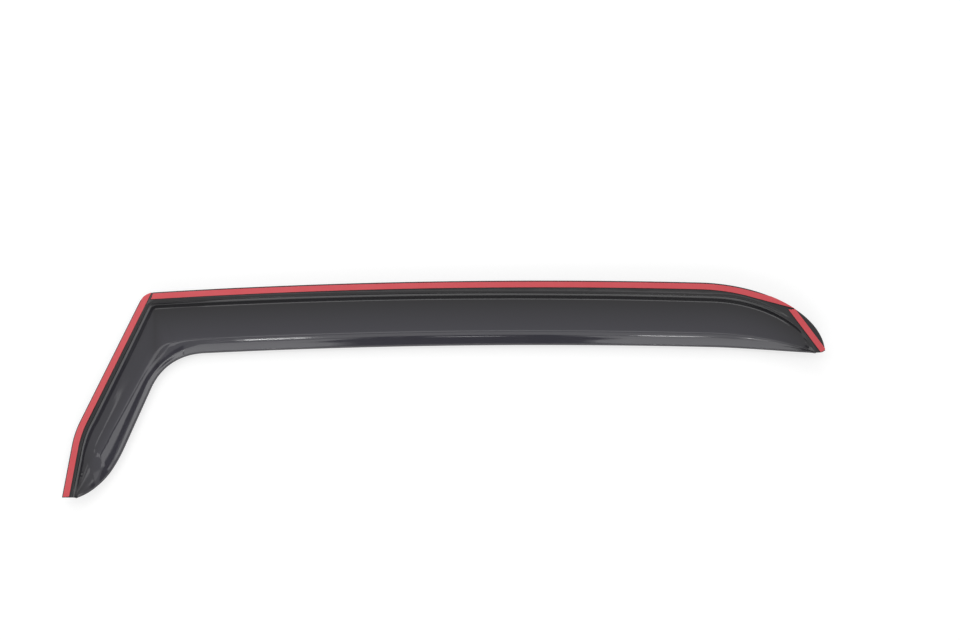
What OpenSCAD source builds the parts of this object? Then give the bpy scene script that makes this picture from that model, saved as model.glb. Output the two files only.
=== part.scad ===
// Side window rain deflector: a smoked acrylic hood for the front edge and top edge of a car door window.
// It lies with its tape side up. +X runs along the long bar to its rear tip, +Y is the top of the window,
// and +Z looks out of the tape face. The origin is on the exposed face of the header tape, on the
// strip's centre line, at the crown of the long upper edge. Sizes are in millimetres.

/* [Outline] */
// Radius of the long upper edge
top_r = 6670; // [4000:10:12000]
// Distance along X from the crown of the upper edge to the front corner
corner_x = 430; // [380:1:480]
// Angle of the pillar leg below the bar
leg_slope = 66.5; // [58:0.5:75]
// Length of the pillar leg's outer edge from the corner
leg_len = 237.5; // [220:0.5:270]
// Distance from the corner to the knee of the leg
knee_at = 168; // [150:1:185]
// How much steeper the leg runs below its knee
knee_turn = 16; // [5:0.5:22]
// Length of the knee's bend on each side
knee_set = 14; // [8:1:20]
// Straight length above the knee's bend, level with the top of the heel curve
shin_len = 8; // [4:1:14]
// Length of the outer corner's rounding on each side
corner_set = 12.5; // [6:0.5:20]
// Distance along X from the crown to the start of the rear curve
rear_x = 170; // [140:1:190]
// Length of the rear curve along X
rear_len = 132; // [115:0.5:150]
// Fall of the rear curve below the upper edge
rear_drop = 72.5; // [66:0.5:75]
// Length of the tip's rounding on each side
tip_set = 4; // [1:0.5:6]

/* [Flange] */
// Width of the flange at the front corner, on the bar
flange_front = 13.5; // [11:0.1:16]
// Width of the flange where the rear curve starts
flange_rear = 16.4; // [13:0.1:18]
// Width of the flange at the rear tip
flange_tip = 9; // [7.5:0.1:12]
// Width of the flange along the pillar leg
flange_leg = 12.4; // [10:0.1:15]
// Length of the ridge corner's rounding on each side
ridge_set = 7; // [4:0.5:12]
// How far behind the start of the rear curve the ridge starts to fall
ridge_lag = 13; // [0:1:25]

/* [Hood] */
// Width of flange and hood together at the crown
hood_w = 69; // [64:0.5:76]
// Radius of the bar's free edge
free_r = 7300; // [4000:10:14000]
// Width of flange and hood together on the leg, level with the corner
hood_leg_w = 48; // [44:0.5:54]
// Angle at which the leg's hood widens downwards
hood_flare = 2; // [0:0.1:3]
// Length of the free edge's inside corner on each side
hood_set = 40.5; // [25:0.5:55]
// Length of the leg's free edge from the inside corner to the heel curve
heel_at = 106.5; // [95:0.5:115]
// Angle at which the heel curve runs into the foot
heel_slope = 21.5; // [10:0.5:28]

/* [Section] */
// Wall thickness of the moulding
wall = 2.5; // [2:0.1:3]
// Width of the ridge's flat top
land_w = 1.8; // [1.4:0.1:2.4]
// Height of the ridge above the flange
land_h = 0.5; // [0:0.05:0.7]
// Depth of the groove between flange and ridge
groove_d = 0.9; // [0.2:0.05:1.1]
// Width of the groove's steep side, at the ridge
groove_w = 1.2; // [1:0.1:1.6]
// Width of the groove's shallow side, at the flange
groove_run = 2.3; // [1.8:0.1:2.6]
// Width of the step that stands the hood off the flange
step_w = 2; // [1.5:0.1:3]
// Depth of that step
step_d = 6; // [4:0.1:7]
// Depth of the hood at its bend, along the bar
bend_d = 16.5; // [13:0.1:20]
// Place of the bend along the bar, as a share of the hood's width
bend_share = 0.68; // [0.64:0.01:0.74]
// Rise of the lip from the bend to its middle
lip_rise = 2; // [1:0.1:3]
// Rise of the lip from the bend to the free edge
rim_rise = 6; // [4:0.1:7]
// Depth of the hood at its bend, down the leg
leg_bend_d = 13.75; // [12:0.05:15]
// Place of the bend down the leg, as a share of the hood's width
leg_bend_share = 0.56; // [0.52:0.01:0.6]
// Rise of the leg's lip from the bend to the free edge
leg_rim_rise = 4.55; // [3.5:0.05:5.5]
// Length of the rounding at the foot of the step
step_set = 1.6; // [1:0.1:2.4]
// Length of the rounding along the bend
bend_set = 6.5; // [3:0.1:7]
// Length of the rounding along the lip
lip_set = 5; // [2:0.1:6]
// Length of the leg's roundings
leg_set = 2.2; // [1:0.1:3]
// Width of hood below which its depth fades towards the closed ends
fade_w = 46; // [35:1:50]
// Width of hood left at the closed ends
end_w = 3; // [2.5:0.1:5]

/* [Tape] */
// Width of the tape
tape_w = 6.3; // [5:0.1:8]
// Thickness of the foam
tape_t = 1.1; // [0.8:0.1:1.6]
// Thickness of the release liner
liner_t = 0.12; // [0.08:0.01:0.2]
// Bare edge outside the header tape
header_edge = 1.7; // [0.6:0.1:2]
// Bare edge outside the pillar tape
pillar_edge = 1.3; // [0.5:0.1:2]
// Least bare edge, where a strip runs out to the outline
trim_edge = 0.2; // [0.1:0.1:0.5]
// Gap where one strip butts on the next
butt_gap = 1.6; // [0.2:0.1:2]
// Fall of the header tape's straight rear end
header_fall = 15.5; // [12:0.5:18]
// Place of the tip tape's upper end on the rear curve, as an angle
tip_from = 50.5; // [50:0.5:58]
// Place of the tip tape's lower end on the rear curve, as an angle
tip_to = 87; // [80:0.5:88]

/* [Hidden] */

smoke = [0.19, 0.19, 0.21];
foam_grey = [0.14, 0.14, 0.15];
liner_red = [0.84, 0.36, 0.38];

// Levels, from the exposed face of the liners down
foam_top = -liner_t;
flange_top = -liner_t - tape_t;

// The upper edge's height at its crown
top_y = header_edge + tape_w / 2;

// Stations along the moulding: foot, knee, above the knee, leg, three for the corner, bar, rear curve, tip
foot_n = 5;
knee_n = 6;
shin_n = 3;
leg_n = 10;
corner_n = [6, 10, 6];
bar_n = 28;
rear_n = 22;
tip_n = 4;
// Points of each rounding in the section, and of the rim
round_n = 4;
rim_n = 4;
// The stations at which the corner and the rear curve start
corner_at = foot_n + knee_n + shin_n + leg_n;
rear_at = corner_at + corner_n[0] + corner_n[1] + corner_n[2] + bar_n;
// Share of the rear curve's stations at which the tip's rounding starts
tip_share = rear_n / (rear_n + tip_n);

// Geometry in the plane: steps from 0 up to but not at 1, and the same with 1
function steps(n) = [for (i = [0 : n - 1]) i / n];
function steps_to(n) = [for (i = [0 : n]) i / n];
function mix(a, b, t) = a + (b - a) * t;
function bend(a, v, b, t) = mix(mix(a, v, t), mix(v, b, t), t);
function heading(angle) = [cos(angle), sin(angle)];
function turned(v) = [-v[1], v[0]];
function unit(v) = v / norm(v);
function reversed(list) = [for (i = [len(list) - 1 : -1 : 0]) list[i]];
// Where the line from a along d meets the line from b along e
function meet(a, d, b, e) = a + d * ((b - a) * turned(e)) / (d * turned(e));
// Fall of an arc of radius r at the distance x from its crown
function sag(x, r) = r - sqrt(r * r - x * x);
// Where the line from a along d meets an arc with its crown at height y, by a few corrections
function meet_arc(a, d, y, r, left = 8) =
    left == 0 ? a : meet_arc(a + d * ((y - sag(a[0], r) - a[1]) / d[1]), d, y, r, left - 1);

// The outer corner, the leg's direction down and its inward normal, above and below the knee
down = -heading(leg_slope);
inward = turned(down);
down_foot = -heading(leg_slope + knee_turn);
inward_foot = turned(down_foot);
corner = [-corner_x, top_y - sag(corner_x, top_r)];
knee = corner + down * knee_at;
toe = knee + down_foot * (leg_len - knee_at);
tip = [rear_x + rear_len, top_y - sag(rear_x + rear_len, top_r) - rear_drop];

// The free edge: its inside corner, where that corner's curve ends, and the top of the heel
free_y = top_y - hood_w;
free_down = -heading(leg_slope + hood_flare);
free_corner = meet_arc(corner + inward * hood_leg_w, -free_down, free_y, free_r);
free_leg = free_corner + free_down * hood_set;
free_bar_x = free_corner[0] + hood_set;
free_bar = [free_bar_x, free_y - sag(free_bar_x, free_r)];
heel = free_corner + free_down * heel_at;
// Distances down the leg: to the top of the shin, and to what lies square across from the inside corner
shin_down = knee_at - knee_set - shin_len;
fan_down = (free_leg - corner) * down;

// Width of the flange at x, growing from the front corner to the rear curve
function flange_at(x, front, rear) =
    front + (rear - front) * (min(x, rear_x) + corner_x) / (rear_x + corner_x);
function bar_y(x, front, rear) = top_y - sag(x, top_r) - flange_at(x, front, rear);

// A rail beside the outline: leg_off inside the leg, front to rear inside the bar, rounded by set at
// the corner. Its rear curve is the quarter ellipse list [start, span, drop, last angle].
function rail(leg_off, front, rear, set, curve) =
    let (line = corner + inward * leg_off,
         top = meet_bar(line, front, rear),
         bent = meet(line, down, knee + inward_foot * leg_off, down_foot),
         above = bent - down * knee_set,
         below = bent + down_foot * knee_set,
         end = bent + down_foot * ((toe[1] - bent[1]) / down_foot[1]),
         low = line + down * shin_down,
         high = line + down * fan_down,
         from = top + down * set,
         to_x = top[0] + set,
         to = [to_x, bar_y(to_x, front, rear)])
    concat(
        [for (t = steps(foot_n)) mix(end, below, t)],
        [for (t = steps(knee_n)) bend(below, bent, above, t)],
        [for (t = steps(shin_n)) mix(above, low, t)],
        [for (t = steps(leg_n)) mix(low, high, t)],
        [for (t = steps(corner_n[0])) mix(high, from, t)],
        [for (t = steps(corner_n[1])) bend(from, top, to, t)],
        [for (t = steps(corner_n[2])) let (x = mix(to_x, free_bar_x, t)) [x, bar_y(x, front, rear)]],
        [for (t = steps(bar_n)) let (x = mix(free_bar_x, curve[0], t)) [x, bar_y(x, front, rear)]],
        [for (t = steps_to(rear_n + tip_n)) rear_point(t, front, rear, curve)]);

function meet_bar(a, front, rear, left = 8) =
    left == 0 ? a : meet_bar(a + down * ((bar_y(a[0], front, rear) - a[1]) / down[1]), front, rear, left - 1);

function rear_point(t, front, rear, curve) =
    let (x = curve[0] + curve[1] * sin(curve[3] * t))
    [x, bar_y(x, front, rear) - curve[2] * (1 - cos(curve[3] * t))];

// The outline's own rear curve at an angle, moved in by off
function outline_at(angle, off = 0) =
    let (x = rear_x + rear_len * sin(angle),
         slope = [rear_len * cos(angle), -rear_drop * sin(angle) - rear_len * cos(angle) * x / top_r])
    [x, top_y - sag(x, top_r) - rear_drop * (1 - cos(angle))] - turned(unit(slope)) * off;

// Last angle of the rear curves: the outline's full quarter, and the ridge's shorter one
outline_last = 90;
ridge_last = 79.5;
// How far the ridge's end lies below the outline's tip
ridge_fall = 0.8;

// The outline, with its tip rounded over the last stations
plain_outline = rail(0, 0, 0, corner_set, [rear_x, rear_len, rear_drop, outline_last / tip_share]);
tip_top = tip + [0, tip_set];
tip_end = tip - [tip_set, ridge_fall / 2];
outline = concat(
    [for (i = [0 : len(plain_outline) - tip_n - 2]) plain_outline[i]],
    [for (t = steps_to(tip_n)) bend(tip_top, tip, tip_end, t)]);

// The ridge where the flange turns down into the hood
ridge_x = rear_x + ridge_lag;
ridge_end = tip - [flange_tip, ridge_fall];
ridge_span = (ridge_end[0] - ridge_x) / sin(ridge_last);
ridge_drop = (bar_y(ridge_end[0], flange_front, flange_rear) - ridge_end[1]) / (1 - cos(ridge_last));
ridge = rail(flange_leg, flange_front, flange_rear, ridge_set, [ridge_x, ridge_span, ridge_drop, ridge_last]);

// The free edge, from the foot round the heel, up the leg, round the corner and along the bar
foot_end = ridge[0] + end_w * heading(-10);
heel_bend = meet(foot_end, heading(heel_slope), heel, free_down);
rear_free = ridge_end - [end_w, 0];
function free_at(x) = [x, free_y - sag(x, free_r)];
rear_dip = rear_free[1] - free_at(rear_free[0])[1];
free_edge = concat(
    [for (t = steps(foot_n + knee_n + shin_n)) bend(foot_end, heel_bend, heel, t)],
    [for (t = steps(leg_n)) mix(heel, free_leg, t)],
    [for (t = steps(corner_n[0] + corner_n[1] + corner_n[2])) bend(free_leg, free_corner, free_bar, t)],
    [for (t = steps(bar_n)) free_at(mix(free_bar_x, ridge_x, t))],
    [for (t = steps_to(rear_n + tip_n)) free_at(mix(ridge_x, rear_free[0], t)) + [0, rear_dip * t * t]]);

// One rounded corner of a section, from a to b round v, with its length kept inside both legs
function rounding(a, v, b, set, n = round_n) =
    let (s = min(set, 0.45 * norm(v - a), 0.45 * norm(b - v)),
         from = v + unit(a - v) * s,
         to = v + unit(b - v) * s)
    [for (t = steps_to(n)) bend(from, v, to, t)];

// Share of its full depth that a hood of this width has
function fade_at(hood) = 1 - pow(1 - min(hood / fade_w, 1), 1.5);

// How much of the leg's section the station i has: all of it down the leg, none along the bar
function on_leg(i) =
    let (t = 1 - max(0, min(1, (i - corner_at) / (corner_n[0] + corner_n[1] + corner_n[2]))))
    t * t * (3 - 2 * t);

// How much of the groove and of the ridge's height the station i has: they run out on the rear curve
function grooved(i) = max(0, min(1, 1.5 - 2.6 * (i - rear_at) / (rear_n + tip_n)));

// The tape side of the section: distance from the ridge and height, for a flange and a hood of these widths.
// Without its raised share, the flange and the ridge are one flat.
function tape_side(flange, hood, leg, raised) =
    let (fade = fade_at(hood),
         rim = min(0.7 * wall, 0.4 * hood),
         land = min(land_w / 2, 0.2 * hood),
         top = [land, 0.76 * land_h * raised],
         groove = [-land_w / 2 - groove_w, -groove_d * raised],
         foot = [min(land_w / 2 + step_w, 0.45 * hood), -step_d * fade],
         bar_bend = [bend_share * hood, -bend_d * fade],
         leg_bend = [leg_bend_share * hood, -leg_bend_d * fade],
         rise = leg_rim_rise * fade,
         near = mix(mix(foot, bar_bend, 0.5), [(leg_bend_share - 0.13) * hood, leg_bend[1] + 0.15 * fade], leg),
         far = mix(mix(foot, bar_bend, 0.82), leg_bend, leg),
         low = mix(bar_bend, [(leg_bend_share + 0.11) * hood, leg_bend[1] + 0.1 * rise], leg),
         lip = mix([0.83 * hood, (lip_rise - bend_d) * fade], [0.84 * hood, leg_bend[1] + 0.4 * rise], leg),
         free = [hood - rim, mix((rim_rise - bend_d) * fade, leg_bend[1] + rise, leg)],
         set = mix(bend_set, leg_set, leg))
    concat([[-flange, 0], groove - [groove_run, -groove_d * raised], groove,
            [-land, land_h * raised], top],
           rounding(top, foot, near, step_set), rounding(foot, near, far, set, 1),
           rounding(near, far, low, set, 1), rounding(far, low, lip, set),
           rounding(low, lip, free, mix(lip_set, leg_set, leg)), [free]);

// The section as a closed ring: along the tape side, round the rim, and back a wall's thickness below the
// plain form, which leaves out the groove. The wall is set off square to the tape side, and straight down
// where the depth fades to nothing.
function section(flange, hood, i) =
    let (face = tape_side(flange, hood, on_leg(i), sqrt(fade_at(hood)) * grooved(i)),
         plain = tape_side(flange, hood, on_leg(i), 0),
         n = len(face),
         settle = 1 - pow(1 - min(hood / 40, 1), 2),
         up = [for (i = [0 : n - 1])
             unit(mix([0, 1], turned(unit(plain[min(i + 1, n - 1)] - plain[max(i - 1, 0)])), settle))],
         core = face[n - 1] - up[n - 1] * wall / 2,
         out = -turned(up[n - 1]))
    concat(face,
           [for (i = [1 : rim_n - 1]) let (a = 180 * i / rim_n)
               core + (up[n - 1] * cos(a) + out * sin(a)) * wall / 2],
           [for (i = [n - 1 : -1 : 0]) plain[i] - up[i] * wall]);

// A section point set on its station: beside the ridge across the flange, or along the hood
function placed(p, from, over, to) =
    let (q = p[0] < 0 ? from + unit(over - from) * -p[0] : from + unit(to - from) * p[0])
    [q[0], q[1], p[1] + flange_top];

module visor_shell() {
    rings = [for (i = [0 : len(ridge) - 1])
        [for (p = section(norm(outline[i] - ridge[i]), norm(free_edge[i] - ridge[i]), i))
            placed(p, ridge[i], outline[i], free_edge[i])]];
    count = len(rings);
    around = len(rings[0]);
    sides = [for (i = [0 : count - 2], j = [0 : around - 1]) let (k = (j + 1) % around)
        each [[i * around + j, (i + 1) * around + k, i * around + k],
              [i * around + j, (i + 1) * around + j, (i + 1) * around + k]]];
    ends = [[for (j = [0 : around - 1]) j],
            [for (j = [around - 1 : -1 : 0]) (count - 1) * around + j]];
    color(smoke) polyhedron([for (ring = rings) each ring], concat(sides, ends));
}

// The part of the flange that tape may cover
module taped_flange() {
    e = trim_edge;
    inset = rail(e, e, e, corner_set, [rear_x, rear_len - e, rear_drop - e, outline_last]);
    polygon(concat(inset, reversed(ridge)));
}

// One side of the pillar strip, in by off from the outline: below the toe, round the knee, past the corner
function pillar_side(off) =
    let (line = corner + inward * off,
         bent = meet(line, down, knee + inward_foot * off, down_foot),
         below = bent + down_foot * knee_set)
    concat([below + down_foot * leg_len],
           [for (t = steps_to(2 * round_n)) bend(below, bent, bent - down * knee_set, t)],
           [line - down * knee_set]);

module pillar_strip() {
    intersection() {
        taped_flange();
        polygon(concat(pillar_side(pillar_edge), reversed(pillar_side(pillar_edge + tape_w))));
    }
}

// One side of the header strip: parallel to the upper edge, then straight on where the rear curve falls away
leave = atan(rear_len * tan(header_fall) / rear_drop);
function header_side(off) =
    let (butt = meet_bar(corner + inward * (pillar_edge + tape_w + butt_gap), off, off))
    concat([for (t = steps(bar_n)) let (x = mix(butt[0], rear_x, t)) [x, bar_y(x, off, off)]],
           [for (t = steps_to(2 * round_n)) outline_at(leave * t, off)],
           [outline_at(leave, off) + heading(-header_fall) * rear_len]);

module header_strip() {
    intersection() {
        taped_flange();
        polygon(concat(header_side(header_edge), reversed(header_side(header_edge + tape_w))));
    }
}

// The tip strip is a straight length laid as a chord of the rear curve, with its lower corners clipped and
// its upper end cut to lie along the header strip
module tip_strip() {
    from = outline_at(tip_from, trim_edge);
    to = outline_at(tip_to, trim_edge);
    along = unit(to - from);
    across = -turned(along);
    clip = tape_w / 4;
    end = to + along * clip;
    polygon([from, to, end + across * clip, end + across * (tape_w - clip), to + across * tape_w,
             from + across * tape_w - along * tape_w * 0.65]);
}

module header_tape() {
    color(foam_grey) translate([0, 0, flange_top]) linear_extrude(tape_t) header_strip();
}

module pillar_tape() {
    color(foam_grey) translate([0, 0, flange_top]) linear_extrude(tape_t) pillar_strip();
}

module tip_tape() {
    color(foam_grey) translate([0, 0, flange_top]) linear_extrude(tape_t) tip_strip();
}

module header_liner() {
    color(liner_red) translate([0, 0, foam_top]) linear_extrude(liner_t) header_strip();
}

module pillar_liner() {
    color(liner_red) translate([0, 0, foam_top]) linear_extrude(liner_t) pillar_strip();
}

module tip_liner() {
    color(liner_red) translate([0, 0, foam_top]) linear_extrude(liner_t) tip_strip();
}

visor_shell();
header_tape();
pillar_tape();
tip_tape();
header_liner();
pillar_liner();
tip_liner();
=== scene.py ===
# Window rain deflector, tape side up on a pale floor: smoked acrylic hood, foam tape, red release liners
import math

import bpy
import numpy as np
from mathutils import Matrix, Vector


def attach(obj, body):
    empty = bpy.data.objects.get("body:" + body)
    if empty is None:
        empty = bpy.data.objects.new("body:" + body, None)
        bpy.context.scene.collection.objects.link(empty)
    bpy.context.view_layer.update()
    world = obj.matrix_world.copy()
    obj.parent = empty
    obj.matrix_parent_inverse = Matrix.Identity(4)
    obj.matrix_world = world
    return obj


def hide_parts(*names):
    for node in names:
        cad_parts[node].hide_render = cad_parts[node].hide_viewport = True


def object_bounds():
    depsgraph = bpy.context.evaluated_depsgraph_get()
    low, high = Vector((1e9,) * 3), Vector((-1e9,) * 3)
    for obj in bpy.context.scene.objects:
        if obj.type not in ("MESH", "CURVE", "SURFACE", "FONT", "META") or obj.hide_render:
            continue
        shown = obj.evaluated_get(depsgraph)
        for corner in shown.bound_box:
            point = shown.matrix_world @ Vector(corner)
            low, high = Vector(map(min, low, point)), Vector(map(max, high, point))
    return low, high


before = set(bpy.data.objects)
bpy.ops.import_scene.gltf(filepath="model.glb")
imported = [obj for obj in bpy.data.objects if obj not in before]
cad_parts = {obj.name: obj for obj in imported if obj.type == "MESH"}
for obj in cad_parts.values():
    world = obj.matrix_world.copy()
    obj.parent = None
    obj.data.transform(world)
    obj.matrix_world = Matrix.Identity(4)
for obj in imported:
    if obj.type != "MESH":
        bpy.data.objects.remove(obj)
cadBox = [list(point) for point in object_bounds()]
mm = 0.001
print("frame loaded")

# The moulding's plan, in millimetres and degrees, as in the CAD source
plan = {
    "topR": 6670, "cornerX": 430, "legSlope": 66.5, "legLen": 237.5, "kneeAt": 168, "kneeTurn": 16,
    "kneeSet": 14, "shinLen": 8, "cornerSet": 12.5, "rearX": 170, "rearLen": 132, "rearDrop": 72.5,
    "tipSet": 4, "flangeFront": 13.5, "flangeRear": 16.4, "flangeTip": 9, "flangeLeg": 12.4,
    "ridgeSet": 7, "ridgeLag": 13, "ridgeLast": 79.5, "ridgeFall": 0.8,
    "hoodW": 69, "freeR": 7300, "hoodLegW": 48, "hoodFlare": 2, "hoodSet": 40.5, "heelAt": 106.5,
    "heelSlope": 21.5, "endW": 3, "footSlope": -10,
    "stations": {"foot": 5, "knee": 6, "shin": 3, "leg": 10,
                 "corner": [6, 10, 6], "bar": 28, "rear": 22, "tip": 4},
    "finer": 4,  # stations here for each one in the CAD source
}

# The moulding's section, in millimetres. A bend is its share of the way from ridge to rim, and its depth.
hood = {
    "wall": 2.5, "stepW": 2, "stepD": 6, "stepSet": 1.6,
    "rimSet": 0.7,  # share of the wall by which the skin stops inside the free edge, before its rounding
    "landH": 0.5, "landSet": 0.25, "landEdge": 0.5,
    "grooveW": 1.2, "grooveRun": 2.3, "grooveD": 0.9, "grooveSets": (0.4, 0.5),
    "barLand": (2.2, 0.12, 0), "legLand": (2.6, -0.16, 1),  # the ridge's width, fall and shift inwards
    "bar": [(0.37, 11.25), (0.59, 14.6), (0.7, 16.5), (0.855, 14.5), (1, 10.5)], "barSets": [6, 4, 6.5, 5],
    "knee": [(0.3, 10.6), (0.46, 12.3), (0.56, 12.5), (0.7, 12.1), (0.86, 10.7), (1, 8.2)],
    "leg": [(0.43, 11.1), (0.59, 12.7), (0.68, 12.8), (0.755, 12.4), (0.865, 11), (1, 8.5)],
    "legSets": [3, 3, 2.2, 2.2, 2.2],
    "barLines": (2, 3), "legLines": (1, 4),  # the bends that are one line round the corner: crease and lip
    "footSet": 1.2,  # from the middle of the ridge to where the step begins
    "rows": (16, 10, 7),  # points from step to crease, to lip and to rim
    "cut": (0.09, 0.25, 0.5, 0.5),  # how step, crease, lip and rim cut the corner: 0.5 is a plain curve
    "turnPace": 1.5,  # the leg's section has gone after 1 / this of the way round the corner
    "barFull": 50, "legFull": 35,  # width from which the hood has its whole depth
    "fadePower": 1.15,  # how depths fade where it narrows
    "settleW": 40,  # width below which its wall is measured more and more upright
    "grooveFade": (1.5, 2.6),  # how the groove runs out down the rear curve: its first share, and its fall
    "tipLip": 0.45,  # share of its rise that the lip keeps at the rear tip
    "plainRun": 3,  # how much further out the back's own rounding over the step begins
    "edgeR": 0.45,  # rounding of the flange's trimmed edge
    "legPaintedFloorLight": 0.75,  # how much painted floor light the whole leg takes: a paler tint standing in for the white floor seen through the sheet
    "bendPoints": 12, "betweenPoints": 6,
    "roundPoints": 8, "facePoints": 3, "rimPoints": 6, "trimPoints": 4,
}

# The most that each form may take where the moulding narrows: of the hood's width, and of the flange's
narrow = {"rim": 0.4, "shift": 0.03, "land": 0.2, "step": 0.3,
          "grooveStart": 0.9, "groove": 0.7, "ridge": 0.5}

# The tape strips, in millimetres, with their fall and their places round the rear curve in degrees, and
# the slant and rounding of the tip strip's ends as shares of its width
tape = {
    "width": 6.3, "foam": 1.1, "liner": 0.12, "headerEdge": 1.7, "pillarEdge": 1.3, "trimEdge": 0.2,
    "buttGap": 1.6, "headerFall": 15.5, "headerEnd": 0.6, "pillarTop": 12, "pillarEnd": 0.05,
    "tipFrom": 50.5, "tipTo": 87, "tipSlant": 0.65, "tipRound": (0.25, 0.4),
    "crowding": 0.8,  # below 1, the pillar strip's rows stand closer towards its top
}

corrections = 8  # rounds that bring a point on to a curved line
lookups = 4000  # places tried for the header strip's rear end
bendShare = 0.45  # the most of a straight leg that one bend takes

flangeTop = -tape["liner"] - tape["foam"]
topY = tape["headerEdge"] + tape["width"] / 2


# Plane geometry on arrays of points
def mix(a, b, t):
    t = np.asarray(t, float)[..., None]
    return np.asarray(a, float) * (1 - t) + np.asarray(b, float) * t


def bend(a, v, b, t):  # a curve from a to b that leaves along a-v and arrives along v-b
    return mix(mix(a, v, t), mix(v, b, t), t)


def heading(angle):
    return np.array([math.cos(math.radians(angle)), math.sin(math.radians(angle))])


def turned(v):  # a quarter turn to the left
    return np.stack([-v[..., 1], v[..., 0]], axis=-1)


def unit(v):
    return v / np.linalg.norm(v, axis=-1, keepdims=True)


def steps(n, last=False):
    return np.linspace(0, 1, n * plan["finer"] + 1)[: None if last else -1]


def meet(a, d, b, e):
    return a + d * np.dot(b - a, turned(e)) / np.dot(d, turned(e))


def sag(x, r):
    return r - np.sqrt(r * r - np.square(x))


down = -heading(plan["legSlope"])
inward = turned(down)
downFoot = -heading(plan["legSlope"] + plan["kneeTurn"])
inwardFoot = turned(downFoot)
corner = np.array([-plan["cornerX"], topY - sag(plan["cornerX"], plan["topR"])])
knee = corner + down * plan["kneeAt"]
toe = knee + downFoot * (plan["legLen"] - plan["kneeAt"])
rearEnd = plan["rearX"] + plan["rearLen"]
tip = np.array([rearEnd, topY - sag(rearEnd, plan["topR"]) - plan["rearDrop"]])


def barY(x, front, rear):  # height of a line beside the long upper edge, front to rear below it
    share = (np.minimum(x, plan["rearX"]) + plan["cornerX"]) / (plan["rearX"] + plan["cornerX"])
    return topY - sag(x, plan["topR"]) - (front + (rear - front) * share)


def meetBar(a, front, rear):
    for _ in range(corrections):
        a = a + down * ((barY(a[0], front, rear) - a[1]) / down[1])
    return a


# A quarter ellipse that falls away from the bar's line
def rearPoint(t, front, rear, start, span, drop, last):
    angle = np.radians(last * np.asarray(t))
    x = start + span * np.sin(angle)
    return np.stack([x, barY(x, front, rear) - drop * (1 - np.cos(angle))], axis=-1)


# The free edge's own corners, which also share out the stations of every rail
freeY = topY - plan["hoodW"]
freeDown = -heading(plan["legSlope"] + plan["hoodFlare"])
freeCorner = corner + inward * plan["hoodLegW"]
for _ in range(corrections):
    fall = freeY - sag(freeCorner[0], plan["freeR"]) - freeCorner[1]
    freeCorner = freeCorner + freeDown * (fall / freeDown[1])
freeLeg = freeCorner + freeDown * plan["hoodSet"]
freeBarX = freeCorner[0] + plan["hoodSet"]
heel = freeCorner + freeDown * plan["heelAt"]
shinDown = plan["kneeAt"] - plan["kneeSet"] - plan["shinLen"]
fanDown = np.dot(freeLeg - corner, down)


# A line beside the outline: up the foot, round the knee, up the leg, round the corner, along the bar
# and down the rear curve, with straight and arc stretches joined by quadratic curves.
def rail(legOff, front, rear, cornerSet, start, span, drop, last):
    count = plan["stations"]
    line = corner + inward * legOff
    top = meetBar(line, front, rear)
    bent = meet(line, down, knee + inwardFoot * legOff, downFoot)
    above, below = bent - down * plan["kneeSet"], bent + downFoot * plan["kneeSet"]
    end = bent + downFoot * ((toe[1] - bent[1]) / downFoot[1])
    low, high = line + down * shinDown, line + down * fanDown
    cornerFrom = top + down * cornerSet
    toX = top[0] + cornerSet
    cornerTo = np.array([toX, barY(toX, front, rear)])
    beside = toX + (freeBarX - toX) * steps(count["corner"][2])
    along = freeBarX + (start - freeBarX) * steps(count["bar"])
    return np.concatenate([
        mix(end, below, steps(count["foot"])),
        bend(below, bent, above, steps(count["knee"])),
        mix(above, low, steps(count["shin"])),
        mix(low, high, steps(count["leg"])),
        mix(high, cornerFrom, steps(count["corner"][0])),
        bend(cornerFrom, top, cornerTo, steps(count["corner"][1])),
        np.stack([beside, barY(beside, front, rear)], axis=-1),
        np.stack([along, barY(along, front, rear)], axis=-1),
        rearPoint(steps(count["rear"] + count["tip"], last=True), front, rear, start, span, drop, last),
    ])


def visorRails():
    count = plan["stations"]
    tipShare = count["rear"] / (count["rear"] + count["tip"])
    outline = rail(0, 0, 0, plan["cornerSet"],
                   plan["rearX"], plan["rearLen"], plan["rearDrop"], 90 / tipShare)
    tipN = count["tip"] * plan["finer"]
    tipEnd = tip - [plan["tipSet"], plan["ridgeFall"] / 2]
    rounding = bend(tip + [0, plan["tipSet"]], tip, tipEnd, steps(count["tip"], last=True))
    outline = np.concatenate([outline[: -tipN - 1], rounding])
    front, rear = plan["flangeFront"], plan["flangeRear"]
    ridgeX = plan["rearX"] + plan["ridgeLag"]
    ridgeEnd = tip - [plan["flangeTip"], plan["ridgeFall"]]
    lastTurn = math.radians(plan["ridgeLast"])
    ridgeDrop = (barY(ridgeEnd[0], front, rear) - ridgeEnd[1]) / (1 - math.cos(lastTurn))
    ridge = rail(plan["flangeLeg"], front, rear, plan["ridgeSet"],
                 ridgeX, (ridgeEnd[0] - ridgeX) / math.sin(lastTurn), ridgeDrop, plan["ridgeLast"])
    footEnd = ridge[0] + plan["endW"] * heading(plan["footSlope"])
    heelBend = meet(footEnd, heading(plan["heelSlope"]), heel, freeDown)
    rearFree = ridgeEnd - [plan["endW"], 0]

    def freeAt(x):
        return np.stack([x, freeY - sag(x, plan["freeR"])], axis=-1)

    freeBar = freeAt(np.float64(freeBarX))
    rearT = steps(count["rear"] + count["tip"], last=True)
    rearDip = (rearFree[1] - freeAt(np.float64(rearFree[0]))[1]) * rearT**2
    freeEdge = np.concatenate([
        bend(footEnd, heelBend, heel, steps(count["foot"] + count["knee"] + count["shin"])),
        mix(heel, freeLeg, steps(count["leg"])),
        bend(freeLeg, freeCorner, freeBar, steps(sum(count["corner"]))),
        freeAt(freeBarX + (ridgeX - freeBarX) * steps(count["bar"])),
        freeAt(ridgeX + (rearFree[0] - ridgeX) * rearT) + np.stack([0 * rearT, rearDip], axis=-1),
    ])
    return outline, ridge, freeEdge


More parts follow.
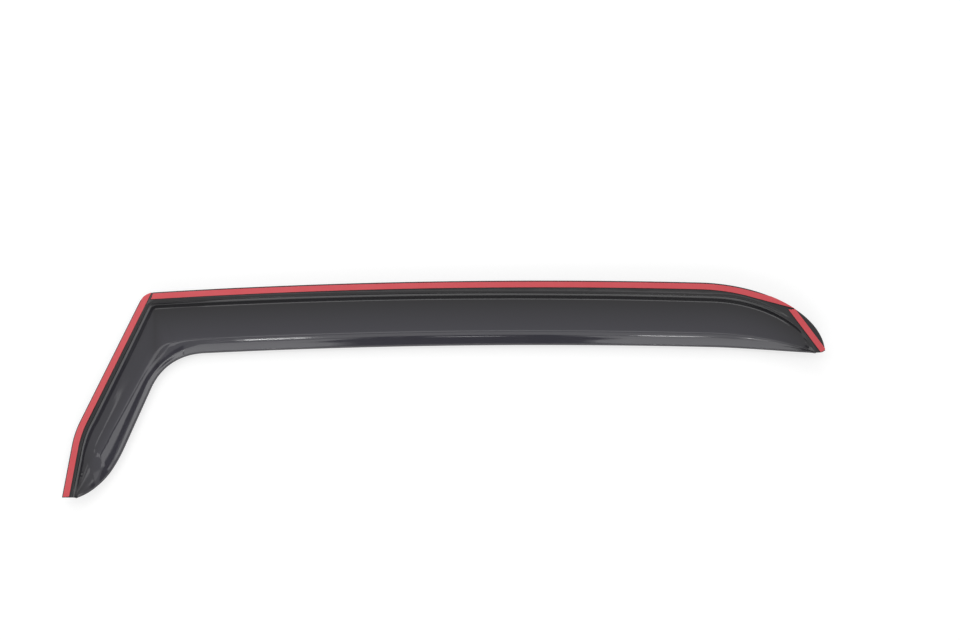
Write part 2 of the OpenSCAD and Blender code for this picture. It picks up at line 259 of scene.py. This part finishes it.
# A path through corner points with each inner corner rounded by a quadratic curve of its own length,
# kept inside both legs, and spare points along the straight stretches.
def roundedPath(points, sets, n, spare):
    out = [points[0][:, None]]
    for i in range(1, len(points) - 1):
        a, v, b = points[i - 1], points[i], points[i + 1]
        room = bendShare * np.minimum(np.linalg.norm(v - a, axis=1), np.linalg.norm(b - v, axis=1))
        size = np.minimum(sets[i - 1], room)[:, None]
        start, end = v + unit(a - v) * size, v + unit(b - v) * size
        straight = np.linspace(0, 1, spare + 1)[1:-1]
        out.append(mix(out[-1][:, -1:], start[:, None], straight[None]))
        out.append(bend(start[:, None], v[:, None], end[:, None], np.linspace(0, 1, n)[None]))
    out.append(mix(out[-1][:, -1:], points[-1][:, None], np.linspace(0, 1, spare + 1)[1:][None]))
    return np.concatenate(out, axis=1)


# A rail at these shares of the way from the ridge to the rim, down the leg and along the bar, with one
# rounded corner between them that cuts its corner point by this share
def innerRail(ridge, rim, legPart, barPart, corner, cut=0.5):
    share = np.where(np.arange(len(ridge)) < corner[0] + 1, legPart, barPart)
    line = mix(ridge, rim, share)
    a, b = line[corner[0]], line[corner[1]]
    v = meet(a, a - line[corner[0] - 1], b, line[corner[1] + 1] - b)
    t = np.linspace(0, 1, corner[1] - corner[0] + 1)[:, None]
    near = 2 * (1 / cut - 1) * t * (1 - t)
    line[corner[0]:corner[1] + 1] = ((1 - t) ** 2 * a + near * v + t**2 * b) / ((1 - t) ** 2 + near + t**2)
    return line


# One section of the hood from the step's foot to the rim, rounded at its bends: rows of share and depth,
# spread evenly from the foot to the crease, on to the lip, and on to the rim
def sectionRows(bends, sets, full, lines):
    points = np.array([((hood["stepW"] + hood["footSet"]) / full, hood["stepD"]), *bends]) * [full, 1]
    legs = [point[None] for point in points]
    path = roundedPath(legs, sets, hood["bendPoints"], hood["betweenPoints"])[0]
    run = np.concatenate([[0], np.cumsum(np.linalg.norm(np.diff(path, axis=0), axis=1))])
    marks = [run[np.argmin(np.linalg.norm(path - points[i + 1], axis=1))] for i in lines]
    stops = [0, *marks, run[-1]]
    spread = [np.linspace(a, b, n, endpoint=False) for a, b, n in zip(stops, stops[1:], hood["rows"])]
    at = np.concatenate([*spread, [run[-1]]])
    return np.interp(at, run, path[:, 0]) / full, np.interp(at, run, path[:, 1])


# The moulding's rings, one for each station. Each is a path on the tape side: across the flange, down a
# shallow groove, up to the ridge's land, down the step, along the face, round the bend, which is flatter
# down the leg than along the bar, and up the lip. The ring goes on round the rim and back a wall's
# thickness below, where the groove doesn't show. Depths fade where the hood is narrower than barFull or
# legFull, measured square to the ridge.
def visorRings(outline, ridge, freeEdge):
    s, n, count = hood, plan["finer"], plan["stations"]
    cornerAt = (count["foot"] + count["knee"] + count["shin"] + count["leg"]) * n
    corner = (cornerAt, cornerAt + sum(count["corner"]) * n)
    station = np.arange(len(ridge))
    turn = np.clip(1 - s["turnPace"] * (station - corner[0]) / (corner[1] - corner[0]), 0, 1)
    leg = turn * turn * (3 - 2 * turn)
    upLeg = np.clip((station - corner[0]) / (count["leg"] * n) + 1, 0, 1)
    rearShare = (station - corner[1] - count["bar"] * n) / ((count["rear"] + count["tip"]) * n)
    width = np.linalg.norm(freeEdge - ridge, axis=1)
    square = np.abs(np.sum((freeEdge - ridge) * turned(unit(np.gradient(ridge, axis=0))), axis=1))
    full = s["barFull"] + (s["legFull"] - s["barFull"]) * leg
    inTurn = (station > corner[0]) & (station < corner[1])
    fade = np.where(inTurn, 1, 1 - (1 - np.minimum(square / full, 1)) ** s["fadePower"])
    grooved = np.sqrt(fade) * np.clip(s["grooveFade"][0] - s["grooveFade"][1] * rearShare, 0, 1)
    edge = np.minimum(s["rimSet"] * s["wall"], narrow["rim"] * width)
    legRim, barRim = 1 - edge[corner[0]] / width[corner[0]], 1 - edge[corner[1]] / width[corner[1]]
    rim = mix(ridge, freeEdge, 1 - edge / width)
    turning = slice(corner[0], corner[1] + 1)
    rim[turning] = innerRail(ridge, freeEdge, legRim, barRim, corner)[turning]

    barShare, barDepth = sectionRows(s["bar"], s["barSets"], s["barFull"], s["barLines"])
    kneeShare, kneeDepth = sectionRows(s["knee"], s["legSets"], s["legFull"], s["legLines"])
    legShare, legDepth = sectionRows(s["leg"], s["legSets"], s["legFull"], s["legLines"])
    stops = np.cumsum([0, *s["rows"]])
    cuts = np.interp(np.arange(stops[-1] + 1), stops, s["cut"])
    rails = np.stack([innerRail(ridge, rim, a + (b - a) * upLeg, c, corner, cut)
                      for a, b, c, cut in zip(kneeShare, legShare, barShare, cuts)], axis=1)
    lowDepth = upLeg[:, None] * legDepth + (1 - upLeg[:, None]) * kneeDepth
    depth = barDepth + (lowDepth - barDepth) * leg[:, None]
    lipAt = stops[2]
    keep = 1 - (1 - s["tipLip"]) * np.clip(rearShare, 0, 1)[:, None]
    depth[:, lipAt:] = depth[:, lipAt:lipAt + 1] + (depth[:, lipAt:] - depth[:, lipAt:lipAt + 1]) * keep
    sheet = np.concatenate([rails, flangeTop - (depth * fade[:, None])[..., None]], axis=-1)

    start = 3  # the row where the face takes over from the step's own rounding
    over = unit(outline - ridge)
    to = unit(mix(unit(rails[:, start] - ridge), -turned(unit(np.gradient(ridge, axis=0))),
                  upLeg * (1 - np.clip(rearShare, 0, 1))))
    landW, landFall, landIn = [a + (b - a) * leg for a, b in zip(s["barLand"], s["legLand"])]
    crest = ridge + to * np.minimum(landIn, narrow["shift"] * width)[:, None]
    land = np.minimum(landW / 2, narrow["land"] * width)[:, None]
    step = np.minimum(landW / 2 + s["stepW"], narrow["step"] * width)[:, None]
    grooveX = landW[:, None] / 2 + s["grooveW"]
    flange = np.linalg.norm(outline - crest, axis=1)[:, None] - s["edgeR"]

    def across(raised, clear, landEdge):  # one skin, with its outer bends moved clear of the ridge
        def at(place, height):
            height = np.broadcast_to(height, len(ridge))[:, None] + flangeTop
            return np.concatenate([place, height], axis=1)

        def beside(far, share):
            return crest + over * np.minimum(far + clear, narrow[share] * flange)

        sets = [*s["grooveSets"], s["landSet"], landEdge, s["stepSet"]]
        upper = roundedPath([
            at(outline - over * s["edgeR"], 0),
            at(beside(grooveX + s["grooveRun"], "grooveStart"), 0),
            at(beside(grooveX, "groove"), -s["grooveD"] * raised),
            at(beside(land, "ridge"), s["landH"] * raised),
            at(crest + to * land, (s["landH"] - landFall) * raised),
            at(crest + to * step, -s["stepD"] * fade),
            sheet[:, start],
        ], sets, s["roundPoints"], s["facePoints"])
        return np.concatenate([upper, sheet[:, start + 1:]], axis=1)

    face = across(grooved, 0, s["landEdge"])
    plain = across(0 * fade, s["plainRun"], s["wall"])  # without groove and ridge, for a smooth back
    # square to the plain skin: the cross product of its runs along and across
    up = unit(np.cross(np.gradient(plain, axis=1), np.gradient(plain, axis=0)))
    up = up * np.sign(up[..., 2:] + 1e-9)
    settle = 1 - (1 - np.minimum(width / s["settleW"], 1)) ** 2
    up = unit(mix(np.array([0.0, 0.0, 1.0]), up, np.broadcast_to(settle[:, None], up.shape[:2])))
    back = plain - up * s["wall"]
    back[:, 0] = plain[:, 0] - [0, 0, s["wall"]]
    lastUp = up[:, -1:]
    out = unit(face[:, -1:] - face[:, -2:-1])
    out = unit(out - lastUp * np.sum(out * lastUp, axis=-1, keepdims=True))
    swing = np.linspace(0, np.pi, 2 * s["rimPoints"] + 2)[1:-1][None, :, None]
    rimRing = face[:, -1:] + (lastUp * (np.cos(swing) - 1) + out * np.sin(swing)) * s["wall"] / 2
    quarter = np.linspace(0, np.pi / 2, s["trimPoints"] + 1)[:-1]
    r = s["edgeR"]
    trimOut = over[:, None] * (r * np.cos(quarter))[None, :, None]
    trimDown = np.broadcast_to((r * np.sin(quarter) - r)[None, :, None], (len(ridge), s["trimPoints"], 1))
    trim = np.concatenate([trimOut, trimDown], axis=-1)
    upper, lower = face[:, :1] + trim, back[:, :1] + trim[:, ::-1] * [1, 1, -1]
    rings = np.concatenate([upper, face, rimRing, back[:, ::-1], lower], axis=1)
    rings = np.maximum(rings, np.array(cadBox[0]) / mm)  # no point below the low corner of the CAD's own box, on any axis
    # how near each point is to the free rim, for a painted highlight that makes the edge of the sheet
    # paler, and how much painted floor light each point takes, a paler tint standing in for the white
    # floor seen through the sheet: none on the flange, most at the crease and lip
    fromRim = np.abs(np.arange(rings.shape[1]) + 0.5 - s["trimPoints"] - face.shape[1] - s["rimPoints"])
    paintedRimLight = np.clip(1 - fromRim / (s["rimPoints"] + 2), 0, 1)
    inside = np.sum((rings[..., :2] - ridge[:, None]) * to[:, None], axis=-1)
    reach = np.linalg.norm(rails[:, stops[1]] - ridge, axis=1)[:, None]
    paintedFloorLight = np.clip(np.maximum(inside / reach, s["legPaintedFloorLight"] * leg[:, None]), 0, 1) * fade[:, None]
    paintedFloorLight = np.where(inside > land, paintedFloorLight, 0)
    return rings, np.broadcast_to(paintedRimLight, paintedFloorLight.shape), paintedFloorLight


# A closed skin over rings of points, one quad for each step round and along, with both end rings closed
# by faces that join each point to its opposite one.
def ringMesh(name, rings):
    count, around = rings.shape[:2]
    i, j = np.meshgrid(np.arange(count - 1), np.arange(around), indexing="ij")
    here, after, k = i * around, (i + 1) * around, (j + 1) % around
    sides = np.stack([here + j, here + k, after + k, after + j], -1).reshape(-1, 4)
    pair = np.arange(around // 2 - 1)
    cap = np.stack([pair, around - 1 - pair, around - 2 - pair, pair + 1], -1)
    faces = np.concatenate([sides, cap, cap[:, ::-1] + (count - 1) * around])
    mesh = bpy.data.meshes.new(name)
    mesh.from_pydata((rings.reshape(-1, 3) * mm).tolist(), [], faces.tolist())
    # a UV map in metres: along the piece, and round its section
    along = np.concatenate([[0], np.cumsum(np.linalg.norm(np.diff(rings.mean(1), axis=0), axis=1))]) * mm
    girth = np.linalg.norm(np.diff(rings[count // 2], axis=0, append=rings[count // 2][:1]), axis=1)
    across = np.concatenate([[0], np.cumsum(girth)]) * mm
    corners = ((i, j), (i, j + 1), (i + 1, j + 1), (i + 1, j))
    sideUv = np.stack([np.stack([along[a], across[b]], -1) for a, b in corners], -2)
    capUv = np.zeros((2 * len(cap), 4, 2))
    uv = mesh.uv_layers.new(name="surface")
    uv.data.foreach_set("uv", np.concatenate([sideUv.reshape(-1), capUv.reshape(-1)]))
    mesh.polygons.foreach_set("use_smooth", np.ones(len(faces), bool))
    mesh.update()
    mesh.set_sharp_from_angle(angle=math.radians(45))
    piece = bpy.data.objects.new(name, mesh)
    bpy.context.scene.collection.objects.link(piece)
    return piece


def visorShell():
    rings, paintedRimLight, paintedFloorLight = visorRings(*visorRails())
    piece = ringMesh("visorShell", rings)
    for name, values in (("paintedRimLight", paintedRimLight), ("paintedFloorLight", paintedFloorLight)):
        mark = piece.data.attributes.new(name, "FLOAT", "POINT")
        mark.data.foreach_set("value", values.astype(np.float32).reshape(-1))
    return piece


def outlineAt(angle, off):  # a point of the outline's own rear curve, moved in by off
    angle = np.radians(angle)
    x = plan["rearX"] + plan["rearLen"] * np.sin(angle)
    ahead = plan["rearLen"] * np.cos(angle)
    slope = np.stack([ahead, -plan["rearDrop"] * np.sin(angle) - ahead * x / plan["topR"]], -1)
    y = topY - sag(x, plan["topR"]) - plan["rearDrop"] * (1 - np.cos(angle))
    return np.stack([x, y], -1) - turned(unit(slope)) * off


def insetY(x):  # the outline with the least bare edge left outside the tape
    e = tape["trimEdge"]
    u = np.clip((x - plan["rearX"]) / (plan["rearLen"] - e), 0, 1)
    return barY(x, e, e) - (plan["rearDrop"] - e) * (1 - np.sqrt(1 - u * u))


# One side of the header strip at x: parallel to the upper edge, then straight on at a fixed fall.
def headerSide(x, off):
    fall = math.tan(math.radians(tape["headerFall"]))
    leave = math.degrees(math.atan(plan["rearLen"] * fall / plan["rearDrop"]))
    bowed = outlineAt(np.linspace(0, leave, 40), off)
    straight = bowed[-1] + heading(-tape["headerFall"]) * plan["rearLen"]
    return np.where(x < plan["rearX"], barY(x, off, off), np.interp(x, *np.vstack([bowed, straight]).T))


# The header strip's two long sides, outer and inner, from the butt at the front to its pointed rear end.
def headerStrip(rows):
    outOff, inOff = tape["headerEdge"], tape["headerEdge"] + tape["width"]
    legSide = corner + inward * (tape["pillarEdge"] + tape["width"] + tape["buttGap"])
    ahead = np.linspace(plan["rearX"], rearEnd - 1, lookups)
    end = ahead[np.argmax(headerSide(ahead, inOff) > insetY(ahead))] - tape["headerEnd"]
    t = np.linspace(0, 1, rows)
    outX = meetBar(legSide, outOff, outOff)[0] * (1 - t) + end * t
    inX = meetBar(legSide, inOff, inOff)[0] * (1 - t) + end * t
    outer = np.stack([outX, np.minimum(headerSide(outX, outOff), insetY(outX))], -1)
    return outer, np.stack([inX, headerSide(inX, inOff)], -1)


# The pillar strip's two long sides from its lower end up: a foot, a bent knee, a straight leg, and a top
# end that follows the outline's rounded corner.
def pillarStrip(rows):
    e = tape["trimEdge"]
    inset = rail(e, e, e, plan["cornerSet"], plan["rearX"], plan["rearLen"] - e, plan["rearDrop"] - e, 90)
    inset = inset - corner
    up, away = -inset @ down, inset @ inward  # height above the corner, and distance inside the leg's edge
    last = int(np.argmax(up > tape["pillarTop"])) + 1
    turn = slice(last - plan["stations"]["corner"][1] * plan["finer"], last)
    offs = (tape["pillarEdge"], tape["pillarEdge"] + tape["width"])
    topEnd = np.interp(offs[1], away[turn], up[turn]) - tape["pillarEnd"]
    sides = []
    for off in offs:
        line = corner + inward * off
        bent = meet(line, down, knee + inwardFoot * off, downFoot)
        above, below = bent - down * plan["kneeSet"], bent + downFoot * plan["kneeSet"]
        end = bent + downFoot * ((toe[1] - bent[1]) / downFoot[1])
        start = -np.dot(above - corner, down)
        t = np.linspace(0, 1, rows)
        height = start + (topEnd - start) * t ** tape["crowding"]
        least = np.interp(height, up[:last], away[:last]) if off == offs[0] else off
        clear = np.maximum(np.full(rows, off), least)
        leg = corner + inward * clear[:, None] - down * height[:, None]
        sides.append(np.concatenate([mix(end, below, np.linspace(0, 1, rows // 4)[:-1]),
                                     bend(below, bent, above, np.linspace(0, 1, rows // 8)[:-1]), leg]))
    return sides


# The tip strip: a straight length laid as a chord of the rear curve, with a rounded lower end.
def tipStrip(rows):
    start, end = outlineAt(tape["tipFrom"], tape["trimEdge"]), outlineAt(tape["tipTo"], tape["trimEdge"])
    lie = unit(end - start)
    far = -turned(lie) * tape["width"]
    past, aside = lie * tape["width"] * tape["tipRound"][0], far * tape["tipRound"][1]
    t = np.linspace(0, 1, rows)
    turn = np.linspace(0, 1, 12)[1:]
    outer = np.concatenate([mix(start, end, t), bend(end, end + past, end + past + aside, turn)])
    start, end = start + far - lie * tape["tipSlant"] * tape["width"], end + far
    inner = np.concatenate([mix(start, end, t), bend(end, end + past, end + past - aside, turn)])
    return outer, inner


# How the release liners lie, in millimetres: waves as length and share of the height, the mean and wave
# height of the film, the lift of its edges, and how far back its first end is torn, as a share of a row
film = {
    "waves": ((90, 0.4), (37, 0.35), (14, 0.25)), "skew": 0.5,
    "mean": -0.065, "height": 0.035, "lift": 0.015, "torn": 0.9, "columns": 14,
}


# A release liner between two long sides: its height is a sum of a few slow waves along the strip and a
# slight lift of its edges, never above the height zero, and its underside is the same a film's thickness
# below.
def linerStrip(name, sides, seed):
    outer, inner = sides
    v = np.linspace(0, 1, film["columns"])
    flat = mix(outer[:, None], inner[:, None], np.broadcast_to(v[None], (len(outer), len(v))))
    run = np.linalg.norm(np.diff((outer + inner) / 2, axis=0), axis=1)
    along = np.concatenate([[0], np.cumsum(run)])[:, None]
    chance = np.random.default_rng(seed)
    wave = np.zeros_like(flat[..., 0])
    for length, height in film["waves"]:
        shift, skew = chance.uniform(0, 6.28), chance.uniform(-film["skew"], film["skew"])
        wave += height * np.sin(2 * np.pi * along / length + shift + skew * v[None] * 2)
    lift = film["lift"] * np.abs(2 * v[None] - 1) ** 4
    top = film["mean"] + film["height"] * np.clip(wave, -1, 1) + lift
    flat[0] += (flat[1] - flat[0]) * chance.uniform(0, film["torn"], (len(v), 1))
    surface = np.concatenate([flat, np.minimum(top, 0)[..., None]], axis=-1)
    below = surface[:, ::-1] - [0, 0, tape["liner"]]
    return ringMesh(name, np.concatenate([surface, below], axis=1))


visor = visorShell()
headerLiner = linerStrip("headerLiner", headerStrip(rows=420), seed=3)
pillarLiner = linerStrip("pillarLiner", pillarStrip(rows=180), seed=8)
tipLiner = linerStrip("tipLiner", tipStrip(rows=50), seed=5)
print("moulding and liners made:", len(visor.data.polygons), "faces on the moulding")


def linear(hexColour):  # an sRGB hex colour as linear values
    values = [int(hexColour[i:i + 2], 16) / 255 for i in (1, 3, 5)]
    return [v / 12.92 if v <= 0.04045 else ((v + 0.055) / 1.055) ** 2.4 for v in values] + [1.0]


# A node with its settings, and its inputs as values or links
def addNode(tree, kind, settings=None, inputs=None):
    node = tree.nodes.new(kind)
    for key, value in (settings or {}).items():
        setattr(node, key, value)
    for key, value in (inputs or {}).items():
        if isinstance(value, bpy.types.NodeSocket):
            tree.links.new(value, node.inputs[key])
        else:
            node.inputs[key].default_value = value
    return node


def newMaterial(name):
    material = bpy.data.materials.new(name)
    material.use_nodes = True
    material.node_tree.nodes.clear()
    return material, material.node_tree


def finish(tree, shader):
    addNode(tree, "ShaderNodeOutputMaterial", inputs={"Surface": shader})


acrylic = {
    # the second colour is painted light, a paler tint towards the crease and lip for the white floor seen
    # through the sheet; the third is a painted highlight along the free edge
    "body": "#232224", "paintedFloorLight": "#3e3d44", "rim": "#454448",
    "ior": 1.49, "polished": 0.05, "scuffed": 0.13,
    "drawWaves": 60, "drawDepth": 0.2,  # length and bump in mm of the slow waves that drawing leaves
}


def smokedAcrylic():
    # Acrylic sheet, smoke tinted and drawn hot over a mould: a near black, glossy face, with painted light
    # that makes it a little paler towards the crease and lip, standing in for the white floor seen through
    # the sheet, slow waves in its reflections, a fine haze of handling scratches, and a painted highlight
    # that makes the cut edge paler, standing in for the light it gathers
    material, tree = newMaterial("smokedAcrylicDrawn")
    place = addNode(tree, "ShaderNodeTexCoord").outputs["Object"]
    haze = addNode(tree, "ShaderNodeTexNoise", inputs={"Vector": place, "Scale": 45.0, "Detail": 4.0})
    rough = addNode(tree, "ShaderNodeMapRange",
                    inputs={"Value": haze.outputs["Fac"], "From Min": 0.35, "From Max": 0.75,
                            "To Min": acrylic["polished"], "To Max": acrylic["scuffed"]})
    # painted light: the share of the paler tint that stands in for the white floor seen through the sheet
    floorLightShare = addNode(tree, "ShaderNodeAttribute", {"attribute_name": "paintedFloorLight"})
    smoke = addNode(tree, "ShaderNodeMix", {"data_type": "RGBA"}, {"Factor": floorLightShare.outputs["Fac"]})
    smoke.inputs[6].default_value = linear(acrylic["body"])
    smoke.inputs[7].default_value = linear(acrylic["paintedFloorLight"])
    # painted highlight: the cut edge takes a paler tint, standing in for the light it gathers and reflects
    edge = addNode(tree, "ShaderNodeAttribute", {"attribute_name": "paintedRimLight"})
    tint = addNode(tree, "ShaderNodeMix", {"data_type": "RGBA"}, {"Factor": edge.outputs["Fac"]})
    tree.links.new(smoke.outputs[2], tint.inputs[6])
    tint.inputs[7].default_value = linear(acrylic["rim"])
    waves = addNode(tree, "ShaderNodeTexNoise",
                    inputs={"Vector": place, "Scale": 1000 / acrylic["drawWaves"], "Detail": 1.0})
    relief = addNode(tree, "ShaderNodeBump",
                     inputs={"Height": waves.outputs["Fac"], "Strength": 0.2,
                             "Distance": acrylic["drawDepth"] * mm})
    shader = addNode(tree, "ShaderNodeBsdfPrincipled",
                     inputs={"Base Color": tint.outputs[2], "Roughness": rough.outputs["Result"],
                             "IOR": acrylic["ior"], "Normal": relief.outputs["Normal"]})
    finish(tree, shader.outputs["BSDF"])
    return material


foam = {"body": "#242123", "roughness": 0.9, "cell": 0.25}


def closedCellFoam():
    # Black closed-cell foam tape, slit to width: matt, with fine cut cells on its sides
    material, tree = newMaterial("closedCellFoamSlit")
    place = addNode(tree, "ShaderNodeTexCoord").outputs["Object"]
    cells = addNode(tree, "ShaderNodeTexVoronoi",
                    inputs={"Vector": place, "Scale": 1000 / foam["cell"] / 2})
    relief = addNode(tree, "ShaderNodeBump",
                     inputs={"Height": cells.outputs["Distance"], "Strength": 0.5, "Distance": 0.1 * mm})
    shader = addNode(tree, "ShaderNodeBsdfPrincipled",
                     inputs={"Base Color": linear(foam["body"]), "Roughness": foam["roughness"],
                             "Normal": relief.outputs["Normal"]})
    finish(tree, shader.outputs["BSDF"])
    return material


liner = {"body": "#d04f57", "deep": "#cb3c44", "ior": 1.5, "roughness": 0.38, "patch": 35}


def filmLiner():
    # Red polyester release film: satin, a little uneven in colour where it lifts off the adhesive
    material, tree = newMaterial("releaseFilmSatin")
    place = addNode(tree, "ShaderNodeTexCoord").outputs["Object"]
    patches = addNode(tree, "ShaderNodeTexNoise",
                      inputs={"Vector": place, "Scale": 1000 / liner["patch"], "Detail": 3.0})
    tint = addNode(tree, "ShaderNodeMix", {"data_type": "RGBA"}, {"Factor": patches.outputs["Fac"]})
    tint.inputs[6].default_value = linear(liner["body"])
    tint.inputs[7].default_value = linear(liner["deep"])
    shader = addNode(tree, "ShaderNodeBsdfPrincipled",
                     inputs={"Base Color": tint.outputs[2], "Roughness": liner["roughness"],
                             "IOR": liner["ior"]})
    finish(tree, shader.outputs["BSDF"])
    return material


def dress(piece, material):
    piece.data.materials.clear()
    piece.data.materials.append(material)


dress(visor, smokedAcrylic())
redFilm = filmLiner()
for piece, node in ((headerLiner, "header_liner"), (pillarLiner, "pillar_liner"), (tipLiner, "tip_liner")):
    dress(piece, redFilm)
    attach(piece, "root")
    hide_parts(node)
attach(visor, "root")
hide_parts("visor_shell")
blackFoam = closedCellFoam()
for node in ("header_tape", "pillar_tape", "tip_tape"):
    dress(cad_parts[node], blackFoam)
print("materials set")


# The studio: a pale floor just below the bend that the moulding rests on, a white surround, softboxes and
# black cards
studio = {"floorHex": "#b8b8b8", "lift": 0.62, "fill": 0.6, "size": 8.0, "below": 0.0001}


# 1 for rays that should find the plain white surround, 0 for those that light the part
def seenDirectly(tree):
    path = addNode(tree, "ShaderNodeLightPath")
    both = addNode(tree, "ShaderNodeMath", {"operation": "MAXIMUM"},
                   {0: path.outputs["Is Camera Ray"], 1: path.outputs["Is Glossy Ray"]})
    return addNode(tree, "ShaderNodeMath", {"operation": "MAXIMUM"},
                   {0: both.outputs[0], 1: path.outputs["Is Transmission Ray"]}).outputs[0]


def paleFloor():
    size, level = studio["size"] / 2, cadBox[0][2] - studio["below"]
    mesh = bpy.data.meshes.new("floor")
    sheet = [(-size, -size, level), (size, -size, level), (size, size, level), (-size, size, level)]
    mesh.from_pydata(sheet, [], [(0, 1, 2, 3)])
    floor = bpy.data.objects.new("floor", mesh)
    bpy.context.scene.collection.objects.link(floor)
    material, tree = newMaterial("mattPaper")
    paper = addNode(tree, "ShaderNodeBsdfDiffuse", inputs={"Color": linear(studio["floorHex"])})
    lift = addNode(tree, "ShaderNodeMath", {"operation": "MULTIPLY"},
                   {0: seenDirectly(tree), 1: studio["lift"]})
    glow = addNode(tree, "ShaderNodeEmission", inputs={"Strength": lift.outputs[0]})
    both = addNode(tree, "ShaderNodeAddShader", inputs={0: paper.outputs[0], 1: glow.outputs[0]})
    finish(tree, both.outputs[0])
    dress(floor, material)


def whiteSurround():
    world = bpy.data.worlds.new("surround")
    bpy.context.scene.world = world
    world.use_nodes = True
    tree = world.node_tree
    tree.nodes.clear()
    strength = addNode(tree, "ShaderNodeMapRange",
                       inputs={"Value": seenDirectly(tree), "To Min": studio["fill"], "To Max": 1.0})
    back = addNode(tree, "ShaderNodeBackground", inputs={"Strength": strength.outputs["Result"]})
    addNode(tree, "ShaderNodeOutputWorld", inputs={"Surface": back.outputs[0]})


def aim(thing, place, target):
    thing.location = place
    thing.rotation_euler = (Vector(target) - Vector(place)).to_track_quat("-Z", "Y").to_euler()


# place, target, width and height in metres, and how much each box adds to white as reflections see it;
# the last three are small lamps for the glints on the bend
softboxes = [
    ((-0.085, 0.24, 1.6), (-0.085, 0.24, 0.0), 1.07, 0.31, 1.2),
    ((0.52, -0.4, 1.6), (0.52, -0.4, 0.0), 0.2, 0.13, 1.2),
    ((1.0, 0.12, 1.6), (1.0, 0.12, 0.0), 0.3, 0.16, 1.2),
    ((0.01, 1.29, 1.6), (0.01, 1.29, 0.0), 1.26, 0.72, 0.6),
    ((-1.0, 0.42, 1.6), (-1.0, 0.42, 0.0), 0.74, 0.9, 1.2),
    ((0.03, 2.1, 1.1), (0.03, 0.0, 0.0), 2.94, 1.1, 1.2),
    ((-0.2, -1.5, 0.9), (-0.2, 0.0, 0.0), 1.6, 0.7, 2.0),
    ((-1.22, 0.53, 0.35), (-0.47, -0.15, 0.0), 1.1, 0.38, 1.6),
    ((0.75, 2.0, 0.27), (0.25, 0.0, 0.0), 0.8, 0.5, 1.2),
    ((-0.62, 1.75, 1.94), (-0.3, -0.06, 0.0), 0.16, 0.06, 18.0),
    ((0.41, 1.75, 1.73), (0.2, -0.06, 0.0), 0.16, 0.06, 18.0),
    ((-0.1, 1.4, 1.15), (-0.08, -0.06, 0.0), 0.14, 0.05, 6.0),
]

# black cards, which only reflections find: place, target, width and height in metres, how far their two
# ends run out to a point, and a turn in degrees
cards = [
    ((-0.11, 1.8, 0.96), (-0.11, 0.0, 0.3), 0.44, 1.4, 0.14, 0),
    ((-1.97, 1.54, 2.03), (-0.42, -0.1, 0.0), 1.5, 1.26, 0, 0),
    ((-0.7, 0.15, 1.55), (-0.7, 0.15, 0.0), 0.16, 0.42, 0, -23.5),
]


def addSoftboxes():
    for i, (place, target, width, height, white) in enumerate(softboxes):
        light = bpy.data.lights.new(f"softbox{i}", "AREA")
        light.shape, light.size, light.size_y = "RECTANGLE", width, height
        light.energy = 4 * width * height * white  # an area light of this power looks this bright
        box = bpy.data.objects.new(f"softbox{i}", light)
        bpy.context.scene.collection.objects.link(box)
        aim(box, place, target)


def addCards():
    black, tree = newMaterial("blackCard")
    finish(tree, addNode(tree, "ShaderNodeBsdfDiffuse", inputs={"Color": linear("#050505")}).outputs[0])
    for i, (place, target, width, height, point, turn) in enumerate(cards):
        x, y = width / 2, height / 2
        mesh = bpy.data.meshes.new(f"card{i}")
        shape = [(-x, -y, 0), (x, -y, 0), (x + point, 0, 0), (x, y, 0), (-x, y, 0), (-x - point, 0, 0)]
        mesh.from_pydata(shape, [], [(0, 1, 2, 3, 4, 5)])
        card = bpy.data.objects.new(f"card{i}", mesh)
        bpy.context.scene.collection.objects.link(card)
        aim(card, place, target)
        card.rotation_euler.rotate_axis("Z", math.radians(turn))
        card.visible_camera = card.visible_diffuse = False
        card.visible_shadow = card.visible_transmission = False
        dress(card, black)


# The photograph's camera: 75 degrees above the horizon, with its place in millimetres
view = {"target": (-67.4, -39.42, -1.22), "distance": 2059.7, "elevation": 75.0, "lens": 71.85}


def addCamera():
    camera = bpy.data.cameras.new("camera")
    camera.lens, camera.sensor_width, camera.sensor_fit = view["lens"], 36, "HORIZONTAL"
    camera.clip_start, camera.clip_end = 0.1, 50
    holder = bpy.data.objects.new("camera", camera)
    bpy.context.scene.collection.objects.link(holder)
    rise = math.radians(view["elevation"])
    target = Vector(view["target"]) * mm
    aim(holder, target + Vector((0, -math.cos(rise), math.sin(rise))) * view["distance"] * mm, target)
    bpy.context.scene.camera = holder


paleFloor()
whiteSurround()
addSoftboxes()
addCards()
addCamera()
bpy.context.scene.view_settings.view_transform = "Standard"
print("studio set")
